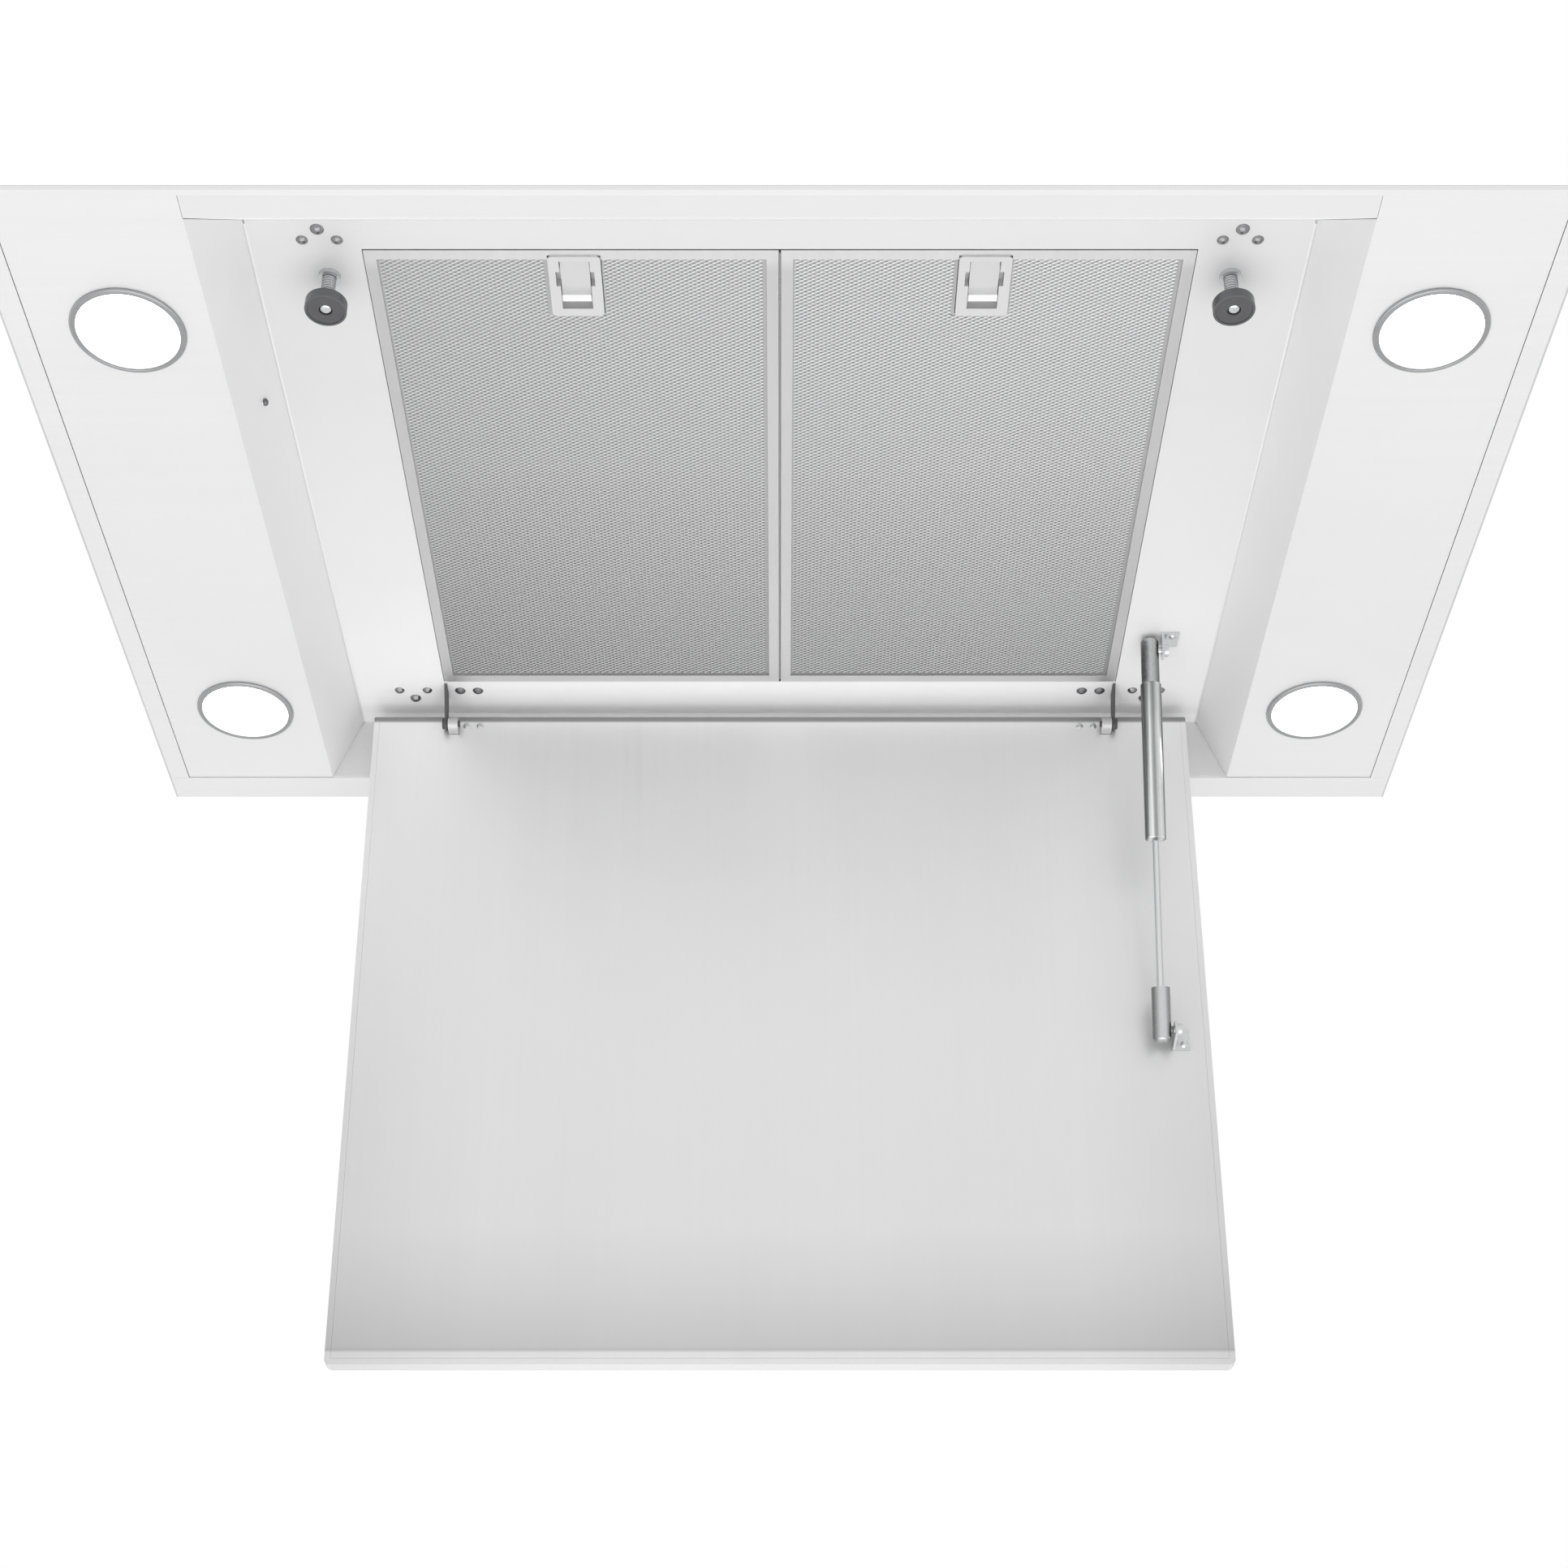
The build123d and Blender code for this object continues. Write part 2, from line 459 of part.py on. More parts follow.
# ---- duct collar and dampers --------------------------------------------
HZ = 9.0
collar = cz(0, COLLAR_Y, 0, COLLAR_TOP, COLLAR_R) - cz(0, COLLAR_Y, -1, COLLAR_TOP + 1, COLLAR_R - 1.0)
collar += cz(0, COLLAR_Y, 0, 1.2, COLLAR_R + 10) - cz(0, COLLAR_Y, -1, 2, COLLAR_R - 1.0)
for sy in (-1, 1):
    collar -= cx(-90, 90, COLLAR_Y + 3.0 * sy, HZ, 1.55)
for k in range(4):
    a = math.radians(45 + 90 * k)
    collar += dome((COLLAR_R + 5.5) * math.cos(a), COLLAR_Y + (COLLAR_R + 5.5) * math.sin(a), 1.2, 2.4, 1.2, down=False)
stop_ring = cz(0, COLLAR_Y, HZ - 4.2, HZ - 3.2, COLLAR_R - 1.0) - cz(0, COLLAR_Y, HZ - 6, HZ, COLLAR_R - 5.0)
node("duct_collar", collar, stop_ring)


def flap(sy):
    disc = cz(0, COLLAR_Y, HZ - 2.3, HZ - 1.3, COLLAR_R - 2.5)
    y0, y1 = (COLLAR_Y + 1.0, COLLAR_Y + 90) if sy > 0 else (COLLAR_Y - 90, COLLAR_Y - 1.0)
    half = disc & box(-100, 100, y0, y1, HZ - 5, HZ + 5)
    yp = COLLAR_Y + 3.0 * sy
    pin = cx(-(COLLAR_R - 0.25), COLLAR_R - 0.25, yp, HZ, 1.5)
    return half + pin + box(-60, 60, yp - 1.1, yp + 1.1, HZ - 2.0, HZ - 0.4)


node("damper_flap_rear", flap(1))
node("damper_flap_front", flap(-1))

# ---- blower --------------------------------------------------------------
BZ0, BZ1 = -82.0, -SHEET
PX0, PX1, PYA = -80.0, 80.0, -20.0    # discharge box under the collar


def scroll_body():
    """Volute outlines, outer and inner, growing clockwise to the rear outlet."""
    pts_o, pts_i = [], []
    n = 48
    for off, out in ((1.2, pts_o), (0.0, pts_i)):
        for k in range(n + 1):
            f = k / n
            th = math.radians(50.0 - 320.0 * f)
            r = WHEEL_R + 9.0 + 31.0 * f + off
            out.append((BLOWER_X + r * math.cos(th), BLOWER_Y + r * math.sin(th)))
    return pts_o, pts_i


po, pi_ = scroll_body()
# the outer wall ends at its rear-most point, then runs straight to the box
yo, yi = po[-1][1], pi_[-1][1]
outer_poly = po + [(PX0 - 0.1, yo), (PX0 - 0.1, po[0][1])]
inner_poly = pi_ + [(PX0 + 1, yi), (PX0 + 1, pi_[0][1])]
scroll = prism_z(outer_poly, BZ0 + 1.0, BZ1)
scroll -= prism_z(inner_poly, BZ0 - 1, BZ1 - 1.0)
node("scroll_housing", scroll)
inlet = prism_z(outer_poly, BZ0, BZ0 + 0.95)
INLET_R = 66.0
inlet -= cz(BLOWER_X, BLOWER_Y, BZ0 - 2, BZ0 + 4, INLET_R)
lip = cz(BLOWER_X, BLOWER_Y, BZ0, BZ0 + 5.5, INLET_R + 1.2) - cz(BLOWER_X, BLOWER_Y, BZ0 - 1, BZ0 + 8, INLET_R)
node("scroll_inlet_plate", inlet + lip)

outlet_y0 = pi_[0][1]
dbox = box(PX0, PX1, PYA, yo + 0.5, BZ0, BZ1) - box(PX0 + 1, PX1 - 1, PYA + 1, yo - 0.5, BZ0 + 1, BZ1 + 1)
dbox -= box(PX0 - 2, PX0 + 2, outlet_y0, yi, BZ0 + 1.0, BZ1 - 1.0)
node("discharge_box", dbox)

# motor hangs on a three-armed bracket across the inlet
MB0 = BZ0 - 3.2
bracket = cz(BLOWER_X, BLOWER_Y, MB0, MB0 + 1.6, 26.0)
for k in range(3):
    a = 90 + 120 * k
    bracket += Pos(BLOWER_X, BLOWER_Y, MB0 + 0.8) * Rot(0, 0, a) * Pos(50, 0, 0) * Box(64, 9, 1.6)
    bracket += Pos(BLOWER_X, BLOWER_Y, MB0 + 1.6) * Rot(0, 0, a) * Pos(76, 0, 0) * Box(12, 12, 3.2)
node("motor_bracket", bracket)
motor = cz(BLOWER_X, BLOWER_Y, MB0 + 1.6, -28, 34.0)
motor = fillet(motor.edges().filter_by(GeomType.CIRCLE), 4.0)
motor += cz(BLOWER_X, BLOWER_Y, -70, -42, 37.0)
motor += cz(BLOWER_X, BLOWER_Y, -29, -24, 10.0)
motor -= cz(BLOWER_X, BLOWER_Y, -66, -20, 4.05)
node("motor", motor)
shaft = cz(BLOWER_X, BLOWER_Y, -65, -9.0, 4.0)
node("motor_shaft", shaft)

blade = make_face(Polyline((63.0, 0.0), (70.0, 2.6), (79.5, 8.4), (80.0, 7.4), (70.6, 1.6), (63.2, -1.0), close=True))
wheel = cz(BLOWER_X, BLOWER_Y, -16.0, -14.6, WHEEL_R)
wheel += cz(BLOWER_X, BLOWER_Y, -73.0, -71.6, WHEEL_R) - cz(BLOWER_X, BLOWER_Y, -80, -60, 68.0)
wheel += cz(BLOWER_X, BLOWER_Y, -21.5, -10.5, 11.0)
blades = []
for k in range(32):
    blades.append(Pos(BLOWER_X, BLOWER_Y, 0) * Rot(0, 0, 360.0 / 32 * k) * extrude(Plane.XY.offset(-72.0) * blade, amount=56.5))
wheel = wheel + blades
wheel -= cz(BLOWER_X, BLOWER_Y, -30, 0, 4.0)
node("impeller", wheel)

capac = Pos(-20, -95, -24) * Rot(0, 90, 0) * Cylinder(17, 64)
capac = fillet(capac.edges().filter_by(GeomType.CIRCLE), 2.0)
capac += box(-26, -14, -112.5, -77.5, -7.5, -1.0)
for dy in (-5, 5):
    capac += box(11.5, 19.0, -95 + dy - 0.4, -95 + dy + 3.4, -27, -21)
node("capacitor", capac)

# ---- controls ------------------------------------------------------------
bezel = bn.location * (Pos((BTN_X[0] + BTN_X[-1]) / 2, 0, 0.6) * Box(BTN_X[-1] - BTN_X[0] + 30, 26, 1.2))
for bx in BTN_X:
    bezel -= bn.location * (Pos(bx, 0, 0) * Cylinder(9.0, 8))
node("button_bezel", bezel)
board = bn.location * (Pos((BTN_X[0] + BTN_X[-1]) / 2, 0, -13.6) * Box(130, 34, 1.6))
board += bn.location * (Pos(BTN_X[0] - 11, 11, -19.0) * Box(14, 10, 10))
board += bn.location * (Pos(BTN_X[-1] + 10, -9, -17.5) * Box(12, 12, 7))
for bx in BTN_X:
    board += bn.location * (Pos(bx, 0, -10.4) * Box(7, 7, 5.0))
for px in (BTN_X[0] - 17, BTN_X[-1] + 17):
    board += bn.location * (Pos(px, 0, -7.1) * Cylinder(3.0, 11.6))
node("control_board", board)
for k, bx in enumerate(BTN_X):
    cap_ = Pos(bx, 0, 0.4) * Cylinder(8.6, 7.2)
    cap_ = fillet(cap_.edges().filter_by(GeomType.CIRCLE).group_by(Axis.Z)[-1], 1.2)
    cap_ += Pos(bx, 0, -3.8) * Cylinder(2.4, 2.0)
    node(f"button_{k + 1}", bn.location * cap_)

# ---- wiring compartment --------------------------------------------------
JX0, JX1, JY0, JY1, JZ0 = 205.0, 305.0, 45.0, 135.0, -56.0
jbox = box(JX0, JX1, JY0, JY1, JZ0, -SHEET) - box(JX0 + 1, JX1 - 1, JY0 + 1, JY1 - 1, JZ0 - 1, 1)
for yy in (70.0, 105.0):
    jbox -= cx(JX0 - 3, JX0 + 3, yy, -40, 3.2)
node("junction_box", jbox)
jc = box(JX0 - 1.2, JX1 + 1.2, JY0 - 1.2, JY1 + 1.2, JZ0 - 1.0, JZ0)
jc += dome(JX0 + 10, JY0 + 10, JZ0 - 1.0, 3.0, 1.6) + dome(JX1 - 10, JY1 - 10, JZ0 - 1.0, 3.0, 1.6)
node("junction_cover", jc)
tb = box(222, 262, 62, 78, -46, -30)
for k in range(3):
    tb -= cz(229 + 13 * k, 70, -50, -40, 3.0)
tb += box(219, 265, 66, 74, -30, -SHEET)
node("terminal_block", tb)
drv = box(110, 190, -30, 10, -30, -SHEET)
drv = fillet(drv.edges().filter_by(Axis.Z), 3.0)
drv += box(102, 198, -17, -3, -3.0, -SHEET)
node("lamp_driver", drv)


def lead(pts, r=1.7, rad=9.0):
    path = FilletPolyline(*pts, radius=rad)
    d = path % 0
    prof = Plane(origin=path @ 0, z_dir=d) * Circle(r)
    return sweep(prof, path=path)


leads = []
bp = slope_pt(BTN_D, 25.0)
# terminal block to control board
leads.append(lead([(221.9, 70.0, -40.0), (198.0, 70.0, -40.0), (198.0, 40.0, -40.0), (198.0, 0.0, -66.0),
                   (139.0, -60.0, -66.0), (139.0,) + slope_pt(BTN_D + 40.0, 19.0),
                   (139.0,) + slope_pt(BTN_D + 16.05, 19.0)], rad=7.0))
# terminal block to motor, along the rear and down to the bracket
leads.append(lead([(240.0, 78.05, -40.0), (240.0, 105.0, -40.0), (180.0, 105.0, -40.0), (110.0, 150.0, -60.0),
                   (110.0, 150.0, -92.0), (BLOWER_X - 19.5, 150.0, -92.0), (BLOWER_X - 19.5, 31.5, -92.0),
                   (BLOWER_X - 19.5, 31.5, -83.65)], rad=6.0))
# driver to the two lamps on each side
ZL = -100.0
for u, k in ((LAMP_U[0], -1.0), (LAMP_U[1], 1.0)):
    leads.append(lead([(190.05, -6.0 + 4.0 * k, -14.0), (LAMP_X - 6, -6.0 + 4.0 * k, -14.0),
                       (LAMP_X - 6, -6.0 + 4.0 * k, ZL), (LAMP_X - 6, Y(u), ZL),
                       (LAMP_X - 6, Y(u), Z_BOTTOM + 20.05)]))
    leads.append(lead([(109.95, -10.0 + 8.0 * k, -14.0), (95.0 + 5.0 * k, -10.0 + 8.0 * k, -14.0),
                       (95.0 + 5.0 * k, -140.0 + 6.0 * k, -14.0),
                       (-LAMP_X + 6, -140.0 + 6.0 * k, -14.0), (-LAMP_X + 6, -140.0 + 6.0 * k, ZL),
                       (-LAMP_X + 6, Y(u), ZL), (-LAMP_X + 6, Y(u), Z_BOTTOM + 20.05)], rad=6.0))
node("wiring_leads", *leads)
print("nodes", len(NODES))
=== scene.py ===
import math
import random

import bmesh
import bpy
from mathutils import Matrix, Vector


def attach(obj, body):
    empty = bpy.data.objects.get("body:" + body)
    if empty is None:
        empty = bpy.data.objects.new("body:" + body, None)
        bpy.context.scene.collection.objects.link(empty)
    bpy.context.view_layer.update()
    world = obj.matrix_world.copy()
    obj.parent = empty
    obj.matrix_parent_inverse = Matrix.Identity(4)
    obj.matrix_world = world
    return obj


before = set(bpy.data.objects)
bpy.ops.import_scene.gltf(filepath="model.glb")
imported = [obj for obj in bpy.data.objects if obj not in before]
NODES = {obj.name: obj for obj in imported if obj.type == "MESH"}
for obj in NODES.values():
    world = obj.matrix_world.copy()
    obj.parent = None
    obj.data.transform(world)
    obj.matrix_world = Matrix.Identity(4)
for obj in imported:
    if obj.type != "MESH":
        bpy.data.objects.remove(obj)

random.seed(7)
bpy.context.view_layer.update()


# ---------------------------------------------------------------- node helpers
def new_mat(name):
    m = bpy.data.materials.new(name)
    m.use_nodes = True
    nt = m.node_tree
    nt.nodes.clear()
    out = nt.nodes.new("ShaderNodeOutputMaterial")
    bs = nt.nodes.new("ShaderNodeBsdfPrincipled")
    nt.links.new(bs.outputs[0], out.inputs[0])
    return m, nt, bs


def coords(nt, scale=(1, 1, 1), rot=(0, 0, 0)):
    tc = nt.nodes.new("ShaderNodeTexCoord")
    mp = nt.nodes.new("ShaderNodeMapping")
    mp.inputs["Scale"].default_value = scale
    mp.inputs["Rotation"].default_value = rot
    nt.links.new(tc.outputs["Object"], mp.inputs["Vector"])
    return mp.outputs["Vector"]


def noise(nt, vec, scale, detail=4, rough=0.55):
    n = nt.nodes.new("ShaderNodeTexNoise")
    n.inputs["Scale"].default_value = scale
    n.inputs["Detail"].default_value = detail
    n.inputs["Roughness"].default_value = rough
    nt.links.new(vec, n.inputs["Vector"])
    return n.outputs["Fac"]


def remap(nt, sock, lo, hi, a=0.0, b=1.0):
    r = nt.nodes.new("ShaderNodeMapRange")
    r.inputs["From Min"].default_value = a
    r.inputs["From Max"].default_value = b
    r.inputs["To Min"].default_value = lo
    r.inputs["To Max"].default_value = hi
    nt.links.new(sock, r.inputs["Value"])
    return r.outputs["Result"]


def mixc(nt, fac, c0, c1):
    m = nt.nodes.new("ShaderNodeMix")
    m.data_type = "RGBA"
    m.inputs[6].default_value = (*c0, 1)
    m.inputs[7].default_value = (*c1, 1)
    nt.links.new(fac, m.inputs[0])
    return m.outputs[2]


def bump(nt, bs, height, dist, strength=1.0):
    b = nt.nodes.new("ShaderNodeBump")
    b.inputs["Distance"].default_value = dist
    b.inputs["Strength"].default_value = strength
    nt.links.new(height, b.inputs["Height"])
    nt.links.new(b.outputs["Normal"], bs.inputs["Normal"])
    return b


def brushed(name, lo, hi, rough=0.42, grain=(3, 420, 420), metallic=1.0, depth=0.00002, cloud=0.04):
    """Satin sheet: fine grain lines along X, soft clouding, light handling marks."""
    m, nt, bs = new_mat(name)
    v = coords(nt, grain)
    g = noise(nt, v, 1.0, 5, 0.7)
    cl = noise(nt, coords(nt, (1, 1, 1)), 7.0, 4, 0.6)
    mul = nt.nodes.new("ShaderNodeMath")
    mul.operation = "MULTIPLY_ADD"
    mul.inputs[1].default_value = 0.65
    nt.links.new(g, mul.inputs[0])
    nt.links.new(remap(nt, cl, 0.0, 0.35, 0.3, 0.7), mul.inputs[2])
    nt.links.new(mixc(nt, mul.outputs[0], lo, hi), bs.inputs["Base Color"])
    nt.links.new(remap(nt, g, rough - 0.05, rough + 0.07, 0.25, 0.75), bs.inputs["Roughness"])
    bs.inputs["Metallic"].default_value = metallic
    bs.inputs["Specular IOR Level"].default_value = 0.5
    bump(nt, bs, g, depth, 0.6)
    return m


def plain_metal(name, col, rough, metallic=1.0, var=0.03, scale=180.0, depth=0.00001):
    m, nt, bs = new_mat(name)
    n = noise(nt, coords(nt), scale, 4, 0.6)
    lo = tuple(max(0, c - var) for c in col)
    hi = tuple(min(1, c + var) for c in col)
    nt.links.new(mixc(nt, n, lo, hi), bs.inputs["Base Color"])
    nt.links.new(remap(nt, n, rough - 0.04, rough + 0.06, 0.3, 0.7), bs.inputs["Roughness"])
    bs.inputs["Metallic"].default_value = metallic
    bump(nt, bs, n, depth, 0.5)
    return m


def plastic(name, col, rough, var=0.02, scale=300.0, depth=0.00001, coat=0.0):
    m = plain_metal(name, col, rough, 0.0, var, scale, depth)
    bs = next(n for n in m.node_tree.nodes if n.type == "BSDF_PRINCIPLED")
    bs.inputs["Coat Weight"].default_value = coat
    return m


def galvanised(name):
    m, nt, bs = new_mat(name)
    vo = nt.nodes.new("ShaderNodeTexVoronoi")
    vo.inputs["Scale"].default_value = 130.0
    nt.links.new(coords(nt), vo.inputs["Vector"])
    sep = nt.nodes.new("ShaderNodeSeparateColor")
    nt.links.new(vo.outputs["Color"], sep.inputs[0])
    nt.links.new(mixc(nt, sep.outputs[0], (0.52, 0.535, 0.55), (0.66, 0.675, 0.69)), bs.inputs["Base Color"])
    nt.links.new(remap(nt, sep.outputs[1], 0.32, 0.5), bs.inputs["Roughness"])
    bs.inputs["Metallic"].default_value = 1.0
    bump(nt, bs, noise(nt, coords(nt), 260.0), 0.00002, 0.5)
    return m


STEEL = brushed("sheet_satin", (0.77, 0.77, 0.77), (0.83, 0.83, 0.83), 0.46, (2, 500, 500), 0.75)
OUTER = brushed("outer_brushed_steel", (0.58, 0.585, 0.59), (0.74, 0.745, 0.75), 0.33, (2, 620, 620), 1.0, 0.00003)
# painted light: the recess floor and sill materials are brightened copies of the satin sheet, lifted to offset the
# shade inside the recess
RECESS_PAINTED_LIGHT = brushed("recess_satin_painted_light", (0.92, 0.92, 0.92), (0.97, 0.97, 0.97), 0.5, (2, 500, 500), 0.25)
SILL_PAINTED_LIGHT = brushed("recess_sill_painted_light", (0.92, 0.92, 0.92), (0.97, 0.97, 0.97), 0.5, (2, 500, 500), 0.25)
WALLS = brushed("recess_wall_satin", (0.76, 0.76, 0.76), (0.82, 0.82, 0.82), 0.5, (2, 500, 500), 0.25)
REARW_PAINTED_LIGHT = brushed("recess_rear_painted_light", (0.70, 0.70, 0.70), (0.76, 0.76, 0.76), 0.5, (2, 500, 500), 0.2)
PANEL_PAINTED_SHADE = brushed("panel_satin_painted_shade", (0.86, 0.86, 0.86), (0.92, 0.92, 0.92), 0.40, (500, 3, 3), 0.7)
LEAF = brushed("panel_leaf_satin", (0.52, 0.52, 0.52), (0.58, 0.58, 0.58), 0.42, (500, 3, 3), 0.7)
GALV = galvanised("galvanised_sheet")
RING = plain_metal("lamp_ring_satin", (0.36, 0.365, 0.37), 0.34, 1.0, 0.012)
CAST = plain_metal("die_cast", (0.55, 0.56, 0.57), 0.5, 1.0, 0.05, 90.0, 0.00005)
ZINC = plain_metal("bright_zinc", (0.60, 0.61, 0.62), 0.28, 1.0, 0.012)
ZINCDARK = plain_metal("magnet_shell", (0.15, 0.155, 0.16), 0.30, 0.9, 0.012)
FERRITE = plain_metal("magnet_face", (0.09, 0.09, 0.095), 0.42, 0.3, 0.02, 220.0, 0.00003)
SCREW = plain_metal("screw_bright", (0.62, 0.625, 0.63), 0.28, 1.0, 0.012)
FASTENER = plain_metal("fastener_satin", (0.27, 0.27, 0.275), 0.24, 1.0, 0.012)
DARKSCREW = plain_metal("screw_dark", (0.17, 0.17, 0.18), 0.36, 0.8)
LATCHM = plain_metal("latch_polished", (0.68, 0.68, 0.68), 0.40, 0.7, 0.006, 40.0, 0.000001)
CHROME = plain_metal("strut_chrome", (0.56, 0.565, 0.57), 0.14, 1.0, 0.015)
TUBE_PAINTED_REFLECTION = plain_metal("strut_tube_painted_reflection", (0.80, 0.805, 0.81), 0.16, 1.0, 0.015)
SOCKET_PAINTED_HIGHLIGHT = plain_metal("strut_socket", (0.50, 0.505, 0.51), 0.26, 0.9, 0.015)
FRAME_PAINTED_LIGHT_SHADE = brushed("filter_frame_alu_painted_light_shade", (0.565, 0.565, 0.565), (0.645, 0.645, 0.645), 0.40, (200, 6, 200), 0.9)
MOTOR = plain_metal("motor_paint", (0.10, 0.10, 0.11), 0.4, 0.2)
WHEEL = plastic("wheel_moulded", (0.18, 0.18, 0.19), 0.5)
CAPM = plastic("capacitor_case", (0.80, 0.81, 0.82), 0.35)
PCB = plastic("board_green", (0.05, 0.25, 0.12), 0.4)
BUTTON = plastic("button_gloss", (0.06, 0.06, 0.07), 0.2, coat=0.4)
BEZEL = plastic("bezel_black", (0.07, 0.07, 0.08), 0.45)
DRIVER = plastic("driver_case", (0.85, 0.85, 0.84), 0.4)
TERM = plastic("terminal_case", (0.88, 0.88, 0.85), 0.4)
WIRE = plastic("wire_jacket", (0.10, 0.10, 0.10), 0.5)
GAP = plastic("gap_strip_grey", (0.36, 0.36, 0.36), 0.6)


def lens_mat():
    m, nt, bs = new_mat("lamp_lens_lit")
    bs.inputs["Base Color"].default_value = (0.95, 0.97, 0.95, 1)
    bs.inputs["Roughness"].default_value = 0.35
    n = noise(nt, coords(nt), 900.0, 2)
    bump(nt, bs, n, 0.00004, 0.6)
    nt.links.new(mixc(nt, n, (0.97, 1.0, 0.97), (1.0, 1.0, 1.0)), bs.inputs["Emission Color"])
    bs.inputs["Emission Strength"].default_value = 2.6
    return m


LENS = lens_mat()


def mesh_mat():
    """Expanded aluminium strands, as seen in the strand pieces."""
    return plain_metal("filter_strand", (0.61, 0.61, 0.615), 0.42, 0.8, 0.03, 400.0, 0.00002)




def along(m, axis, stops):
    """Scale a material's colour by a ramp along one axis of the part, used here to paint light and shade into the
    colour; stops are (position m, factor).
    """
    nt = m.node_tree
    bs = next(n for n in nt.nodes if n.type == "BSDF_PRINCIPLED")
    src = bs.inputs["Base Color"].links[0].from_socket
    sep = nt.nodes.new("ShaderNodeSeparateXYZ")
    nt.links.new(coords(nt), sep.inputs[0])
    a, b = stops[0][0], stops[-1][0]
    r = nt.nodes.new("ShaderNodeValToRGB")
    els = r.color_ramp.elements
    els[0].position, els[0].color = 0.0, (stops[0][1],) * 3 + (1,)
    els[1].position, els[1].color = 1.0, (stops[-1][1],) * 3 + (1,)
    for pos, val in stops[1:-1]:
        e = els.new((pos - a) / (b - a))
        e.color = (val,) * 3 + (1,)
    nt.links.new(remap(nt, sep.outputs[axis], 0.0, 1.0, a, b), r.inputs[0])
    mx = nt.nodes.new("ShaderNodeMix")
    mx.data_type = "RGBA"
    mx.blend_type = "MULTIPLY"
    mx.inputs[0].default_value = 1.0
    nt.links.new(src, mx.inputs[6])
    nt.links.new(r.outputs[0], mx.inputs[7])
    nt.links.new(mx.outputs[2], bs.inputs["Base Color"])
    return m


# painted light and shade on the panel: darker towards its free edge, with a painted dark line just inside that edge;
# a little lighter towards the hinge edge; a painted shadow gap as a dark band along the hinge edge
along(PANEL_PAINTED_SHADE, 2, [(-0.552, 0.84), (-0.5275, 0.84), (-0.5272, 0.46), (-0.5264, 0.46), (-0.5260, 0.63), (-0.490, 0.75), (-0.455, 0.84), (-0.30, 0.92), (-0.1224, 1.07), (-0.1221, 0.34),
                 (-0.10, 0.34)])
# painted shade: the panel is also darker towards its two side edges
along(PANEL_PAINTED_SHADE, 0, [(-0.252, 0.86), (-0.17, 0.97), (-0.06, 1.0), (0.06, 1.0), (0.17, 0.97), (0.252, 0.86)])
# painted light: the recess rear wall is brightened across the middle, behind the panel, where the panel shades it
along(REARW_PAINTED_LIGHT, 0, [(-0.262, 1.0), (-0.255, 1.0), (-0.250, 1.33), (0.250, 1.33), (0.255, 1.0), (0.262, 1.0)])
# painted light: the recess floor is painted lighter towards the rear, where the panel shades it
along(RECESS_PAINTED_LIGHT, 1, [(-0.30, 0.745), (-0.16, 0.74), (0.0, 0.82), (0.09, 0.90), (0.14, 1.0)])
# painted light: the sill keeps the brightened recess tone inside the recess and drops to the plain sheet tone on its
# front strip
along(SILL_PAINTED_LIGHT, 1, [(-0.338, 0.74), (-0.3203, 0.74), (-0.3196, 1.0), (-0.27, 1.0)])
# painted light and shade: the filter frames are lighter along their front and rear bands and darker in between
along(FRAME_PAINTED_LIGHT_SHADE, 1, [(-0.27, 1.18), (-0.254, 1.16), (-0.246, 0.98), (0.09, 0.92), (0.10, 1.1)])
# painted reflection: bright and dark stripes along the strut tube's length stand in for its reflections
along(TUBE_PAINTED_REFLECTION, 0, [(0.2156, 0.10), (0.2168, 0.30), (0.2180, 0.95), (0.2196, 1.0), (0.2208, 0.42), (0.2220, 0.30),
                (0.2232, 0.62), (0.2248, 1.0), (0.2262, 0.80), (0.2272, 0.25), (0.2284, 0.10)])
# painted highlight and shade: the strut sockets are bright along their middle and dark towards their sides
along(SOCKET_PAINTED_HIGHLIGHT, 0, [(0.2150, 0.20), (0.2175, 0.45), (0.2205, 1.0), (0.2235, 1.0), (0.2262, 0.45), (0.2290, 0.20)])
# painted highlight: a bright band across the latch slider where its folded lip catches the light
LATCH_SLIDER_PAINTED_HIGHLIGHT = plain_metal("latch_slider_painted_highlight", (0.68, 0.68, 0.68), 0.40, 0.7, 0.006, 40.0, 0.000001)
along(LATCH_SLIDER_PAINTED_HIGHLIGHT, 1, [(-0.26, 0.97), (-0.2318, 0.97), (-0.2313, 1.32), (-0.2272, 1.32), (-0.2267, 0.97), (-0.21, 1.0)])
# painted shade: the hinge bracket material is made nearly black below the level of the recess floor
HINGE_PAINTED_SHADE = brushed("hinge_leaf_painted_shade", (0.69, 0.69, 0.69), (0.75, 0.75, 0.75), 0.5, (2, 500, 500), 0.35)
along(HINGE_PAINTED_SHADE, 2, [(-0.140, 0.10), (-0.1096, 0.12), (-0.1084, 0.14), (-0.1080, 1.0), (-0.080, 1.0)])
STRAND_PAINTED_SHADE = mesh_mat()
# painted shade: the expanded-metal strands darken towards the rear of the filter
along(STRAND_PAINTED_SHADE, 1, [(-0.26, 1.0), (-0.10, 0.96), (0.0, 0.88), (0.09, 0.78)])
MESHBACK_PAINTED_SHADE = plain_metal("filter_pack_inner_painted_shade", (0.49, 0.49, 0.495), 0.5, 0.8, 0.03, 300.0, 0.00002)
# painted shade: the inner filter pack darkens towards the rear
along(MESHBACK_PAINTED_SHADE, 1, [(-0.26, 1.0), (-0.10, 0.95), (0.0, 0.84), (0.09, 0.70)])

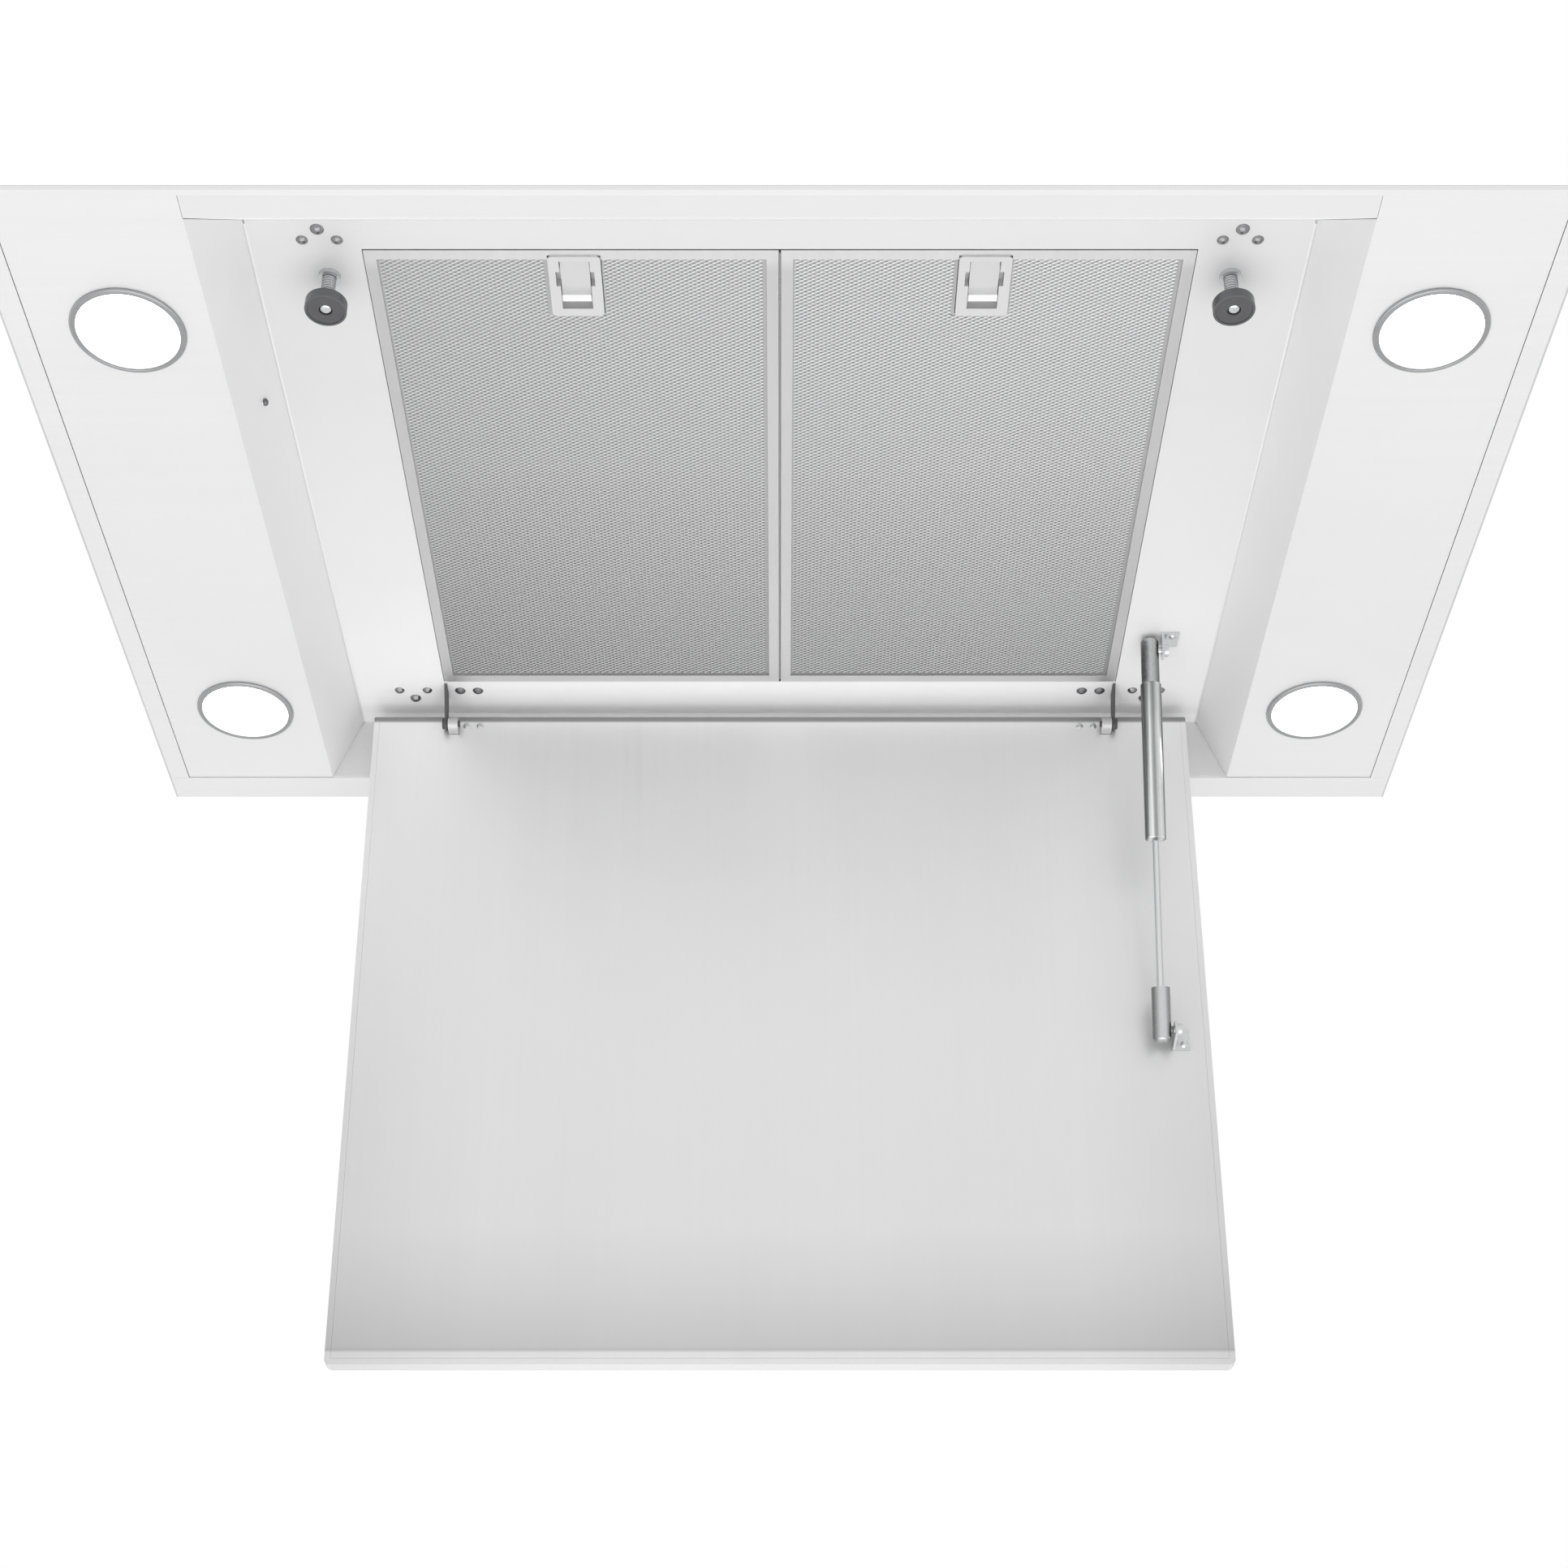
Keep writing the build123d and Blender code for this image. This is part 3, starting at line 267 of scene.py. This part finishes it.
ASSIGN = {
    OUTER: ["top_plate", "back_plate", "side_panels", "front_fascia"], STEEL: ["rim_flanges", "light_panels"],
    RECESS_PAINTED_LIGHT: ["recess_floor"], SILL_PAINTED_LIGHT: ["recess_front"], WALLS: ["recess_side_walls"], REARW_PAINTED_LIGHT: ["recess_rear_wall"],
    PANEL_PAINTED_SHADE: ["panel_outer", "panel_inner"], LEAF: ["panel_hinge_leaves"], HINGE_PAINTED_SHADE: ["hinge_brackets"],
    GALV: ["panel_stiffeners", "duct_collar", "damper_flap_rear", "damper_flap_front", "scroll_housing",
           "scroll_inlet_plate", "discharge_box", "motor_bracket", "junction_box", "junction_cover"],
    RING: ["lamp_bezels"], LENS: ["lamp_lenses"], CAST: ["lamp_housings"],
    ZINC: ["magnet_posts"], ZINCDARK: ["magnet_cups"], FERRITE: ["magnet_cores"], FASTENER: ["underside_fasteners"],
    SCREW: ["panel_screws", "panel_strut_stud", "strut_top_bracket"],
    DARKSCREW: ["hinge_screws"],
    CHROME: ["strut_rod", "motor_shaft"], TUBE_PAINTED_REFLECTION: ["strut_cylinder"],
    SOCKET_PAINTED_HIGHLIGHT: ["strut_top_socket", "strut_rod_socket"],
    FRAME_PAINTED_LIGHT_SHADE: ["filter_frame_left", "filter_frame_right"],
    MESHBACK_PAINTED_SHADE: ["filter_mesh_left", "filter_mesh_right"],
    LATCHM: ["filter_latch_cup_left", "filter_latch_cup_right"], LATCH_SLIDER_PAINTED_HIGHLIGHT: ["latch_slider_left", "latch_slider_right"],
    MOTOR: ["motor"], WHEEL: ["impeller"], CAPM: ["capacitor"], PCB: ["control_board"],
    BUTTON: ["button_1", "button_2", "button_3", "button_4"], BEZEL: ["button_bezel"],
    DRIVER: ["lamp_driver"], TERM: ["terminal_block"], WIRE: ["wiring_leads"],
}
for mat, names in ASSIGN.items():
    for n in names:
        for s in NODES[n].material_slots:
            s.material = mat


# ---------------------------------------------------------------- mesh pieces
def piece(name, bm, mat, body, smooth=False):
    me = bpy.data.meshes.new(name)
    bm.normal_update()
    bm.to_mesh(me)
    bm.free()
    o = bpy.data.objects.new(name, me)
    bpy.context.scene.collection.objects.link(o)
    me.materials.append(mat)
    if smooth:
        for p in me.polygons:
            p.use_smooth = True
    if body:
        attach(o, body)
    return o


def add_box(bm, lo, hi, mat=None):
    vs = [bm.verts.new(((hi if (k >> 0) & 1 else lo)[0], (hi if (k >> 1) & 1 else lo)[1],
                        (hi if (k >> 2) & 1 else lo)[2])) for k in range(8)]
    if mat is not None:
        for v in vs:
            v.co = mat @ v.co
    for f in ((0, 2, 3, 1), (4, 5, 7, 6), (0, 1, 5, 4), (2, 6, 7, 3), (0, 4, 6, 2), (1, 3, 7, 5)):
        bm.faces.new([vs[i] for i in f])


def yu(u):
    return (-337.5 + u) / 1000


def expanded_layer(bm, x0, x1, y0, y1, z, lw, sw, strand, thick, hole, flip=1):
    """Expanded metal: crossing zig-zag strands that leave diamond openings."""
    nx = int((x1 - x0) / lw)
    ny = int((y1 - y0) / (sw / 2))
    hx0, hx1, hy0, hy1 = hole

    def strip(ax, ay, bx, by, w, za, zb):
        d = Vector((bx - ax, by - ay, 0))
        if d.length < 1e-6:
            return
        n = Vector((-d.y, d.x, 0)).normalized() * w / 2
        v = [bm.verts.new((ax - n.x, ay - n.y, za)), bm.verts.new((bx - n.x, by - n.y, zb)),
             bm.verts.new((bx + n.x, by + n.y, zb + thick)), bm.verts.new((ax + n.x, ay + n.y, za + thick))]
        bm.faces.new(v)

    for j in range(ny + 1):
        y = y0 + j * sw / 2
        off = (j % 2) * lw / 2
        for i in range(-1, nx + 2):
            ax = x0 + i * lw + off
            for sgn in (-1, 1):
                bx, by = ax + sgn * lw / 2, y + sw / 2
                if ax < x0 or ax > x1 or bx < x0 or bx > x1 or by > y1 or y < y0:
                    continue
                mx, my = (ax + bx) / 2, (y + by) / 2
                if hx0 < mx < hx1 and my < hy1:
                    continue
                strip(ax, y, bx, by, strand, z, z)


def filter_strands(side):
    sx = 1 if side == "right" else -1
    x0, x1 = 0.0072, 0.1998
    if sx < 0:
        x0, x1 = -x1, -x0
    cxl = sx * 0.1024
    hole = (cxl - 0.0145, cxl + 0.0145, yu(78), yu(122.2))
    bm = bmesh.new()
    expanded_layer(bm, x0, x1, yu(84.2), yu(424.8), -0.10745, 0.0042, 0.0024, 0.0006, 0.00025, hole)
    o = piece(f"filter_strands_outer_{side}", bm, STRAND_PAINTED_SHADE, f"filter_{side}")
    return o


# camera ------------------------------------------------------------------
F, PITCH, H, YF, CX, CY = 3140.9, math.radians(29.128), 904.6, 839.0, 960.9, 1256.0
cam_d = bpy.data.cameras.new("camera")
cam = bpy.data.objects.new("camera", cam_d)
bpy.context.scene.collection.objects.link(cam)
bpy.context.scene.camera = cam
cam_d.sensor_width = 36.0
cam_d.lens = F / 1932 * 36.0
cam_d.clip_start = 0.05
cam_d.clip_end = 50.0
cam.location = (0, (-337.5 - YF) / 1000, (-150.0 - H) / 1000)
cam.rotation_euler = (math.radians(90) + PITCH, 0, 0)
cam_d.shift_y = (CY - 966.0) / 1932
cam_d.shift_x = -(CX - 966.0) / 1932
cam_d.dof.use_dof = False

for side in ("left", "right"):
    filter_strands(side)

# blind rivet in the left wall of the recess
bm = bmesh.new()
bmesh.ops.create_uvsphere(bm, u_segments=20, v_segments=12, radius=0.0021)
bmesh.ops.scale(bm, vec=(0.8, 1, 0.9), verts=bm.verts)
bmesh.ops.translate(bm, vec=(-0.2684, yu(166), -0.126), verts=bm.verts)
piece("side_wall_rivet", bm, DARKSCREW, "hood", True)

# fine bead of sealant along the two long inner edges of the recess
bm = bmesh.new()
for sx in (-1, 1):
    ends = []
    for u in (60.0, 474.0):
        ends.append([bm.verts.new((sx * x_, yu(u), z_)) for x_, z_ in
                     ((0.2612, -0.10785), (0.2614, -0.10812), (0.2618, -0.10835), (0.2624, -0.10875), (0.2626, -0.1078))])
    for i in range(5):
        j = (i + 1) % 5
        bm.faces.new((ends[0][i], ends[0][j], ends[1][j], ends[1][i]))
    bm.faces.new(ends[0])
    bm.faces.new(list(reversed(ends[1])))
bmesh.ops.recalc_face_normals(bm, faces=bm.faces)
piece("recess_seam_beads", bm, WALLS, "hood")

# screw heads in the middle of the magnets
bm = bmesh.new()
for sx in (-1, 1):
    r = bmesh.ops.create_uvsphere(bm, u_segments=20, v_segments=12, radius=0.0030)
    bmesh.ops.scale(bm, vec=(1, 1, 0.3), verts=r["verts"])
    bmesh.ops.translate(bm, vec=(sx * 0.2255, yu(95), -0.1304), verts=r["verts"])
piece("magnet_screws", bm, SCREW, "hood", True)

# rolled trim ring round each lamp
bm = bmesh.new()
PROFILE = [(0.0258, -0.1499), (0.0260, -0.1507), (0.0265, -0.1511), (0.0274, -0.1512), (0.0281, -0.1509), (0.0284, -0.1503),
           (0.0284, -0.1499)]
for lx in (-0.320, 0.320):
    for lu in (89.8, 404.6):
        rings = []
        for k in range(72):
            a = 2 * math.pi * k / 72
            rings.append([bm.verts.new((lx + r_ * math.cos(a), yu(lu) + r_ * math.sin(a), z_)) for r_, z_ in PROFILE])
        for k in range(72):
            r0, r1 = rings[k], rings[(k + 1) % 72]
            for i in range(len(PROFILE)):
                j = (i + 1) % len(PROFILE)
                bm.faces.new((r0[i], r0[j], r1[j], r1[i]))
bmesh.ops.recalc_face_normals(bm, faces=bm.faces)
piece("lamp_trim_rings", bm, RING, "hood", True)

# soft strip that closes the slit between the two filters
bm = bmesh.new()
add_box(bm, (-0.0004, yu(80), -0.1075), (0.0004, yu(430), -0.1010))
piece("filter_gap_strip", bm, GAP, "hood")

# lights --------------------------------------------------------------------
w = bpy.data.worlds.new("world")
bpy.context.scene.world = w
w.use_nodes = True
wn = w.node_tree
bg = wn.nodes["Background"]
geo = wn.nodes.new("ShaderNodeTexCoord")
sxyz = wn.nodes.new("ShaderNodeSeparateXYZ")
wn.links.new(geo.outputs["Generated"], sxyz.inputs[0])


def wmath(op, a, b_=None, c=None):
    n = wn.nodes.new("ShaderNodeMath")
    n.operation = op
    for i, v in enumerate((a, b_, c)):
        if v is None:
            continue
        if isinstance(v, (int, float)):
            n.inputs[i].default_value = v
        else:
            wn.links.new(v, n.inputs[i])
    return n.outputs[0]


def wramp(sock, stops):
    r = wn.nodes.new("ShaderNodeValToRGB")
    r.color_ramp.interpolation = "EASE"
    els = r.color_ramp.elements
    els[0].position, els[0].color = stops[0][0], (stops[0][1],) * 3 + (1,)
    els[1].position, els[1].color = stops[-1][0], (stops[-1][1],) * 3 + (1,)
    for pos, val in stops[1:-1]:
        e = els.new(pos)
        e.color = (val,) * 3 + (1,)
    wn.links.new(sock, r.inputs[0])
    sep = wn.nodes.new("ShaderNodeSeparateColor")
    wn.links.new(r.outputs[0], sep.inputs[0])
    return sep.outputs[0]


# height of the direction, 0 straight down to 1 straight up
hgt = wmath("MULTIPLY_ADD", sxyz.outputs[2], 0.5, 0.5)
front_sky = wramp(hgt, [(0.0, 0.9), (0.60, 0.84), (0.72, 0.80), (0.79, 1.0), (0.86, 1.0), (0.92, 1.0), (1.0, 1.0)])
back_sky = wramp(hgt, [(0.0, 1.0), (0.45, 1.0), (0.52, 1.0), (1.0, 1.0)])
front = wmath("GREATER_THAN", wmath("MULTIPLY", sxyz.outputs[1], -1.0), 0.02)
vary = wmath("ADD", wmath("MULTIPLY", front, front_sky), wmath("MULTIPLY", wmath("SUBTRACT", 1.0, front), back_sky))
low = wmath("LESS_THAN", sxyz.outputs[2], 0.05)
UNDER = 1.5
level = wmath("MULTIPLY", vary, wmath("ADD", 1.0, wmath("MULTIPLY", low, UNDER - 1.0)))
bg.inputs[0].default_value = (1, 1, 1, 1)
wn.links.new(level, bg.inputs[1])


def area(name, loc, target, size, power, col=(1, 1, 1)):
    d = bpy.data.lights.new(name, "AREA")
    d.shape = "RECTANGLE"
    d.size, d.size_y = size
    d.energy = power
    d.color = col
    o = bpy.data.objects.new(name, d)
    bpy.context.scene.collection.objects.link(o)
    o.location = loc
    o.rotation_euler = (Vector(target) - Vector(loc)).to_track_quat("-Z", "Y").to_euler()
    return o


area("fill_below", (0, -0.35, -1.25), (0, 0, -0.1), (1.6, 1.0), 6.0)
area("fill_behind_panel", (0, yu(465), -0.148), (0, yu(459), -0.100), (0.50, 0.012), 0.065)

# floor ---------------------------------------------------------------------
bm = bmesh.new()
for x, y in ((-6, -6), (6, -6), (6, 6), (-6, 6)):
    bm.verts.new((x, y, -1.9))
bm.verts.ensure_lookup_table()
bm.faces.new(bm.verts)
fm, fnt, fbs = new_mat("floor_pale")
fbs.inputs["Base Color"].default_value = (0.92, 0.92, 0.92, 1)
fbs.inputs["Roughness"].default_value = 0.9
floor = piece("floor", bm, fm, None)

bpy.context.scene.view_settings.view_transform = "Standard"
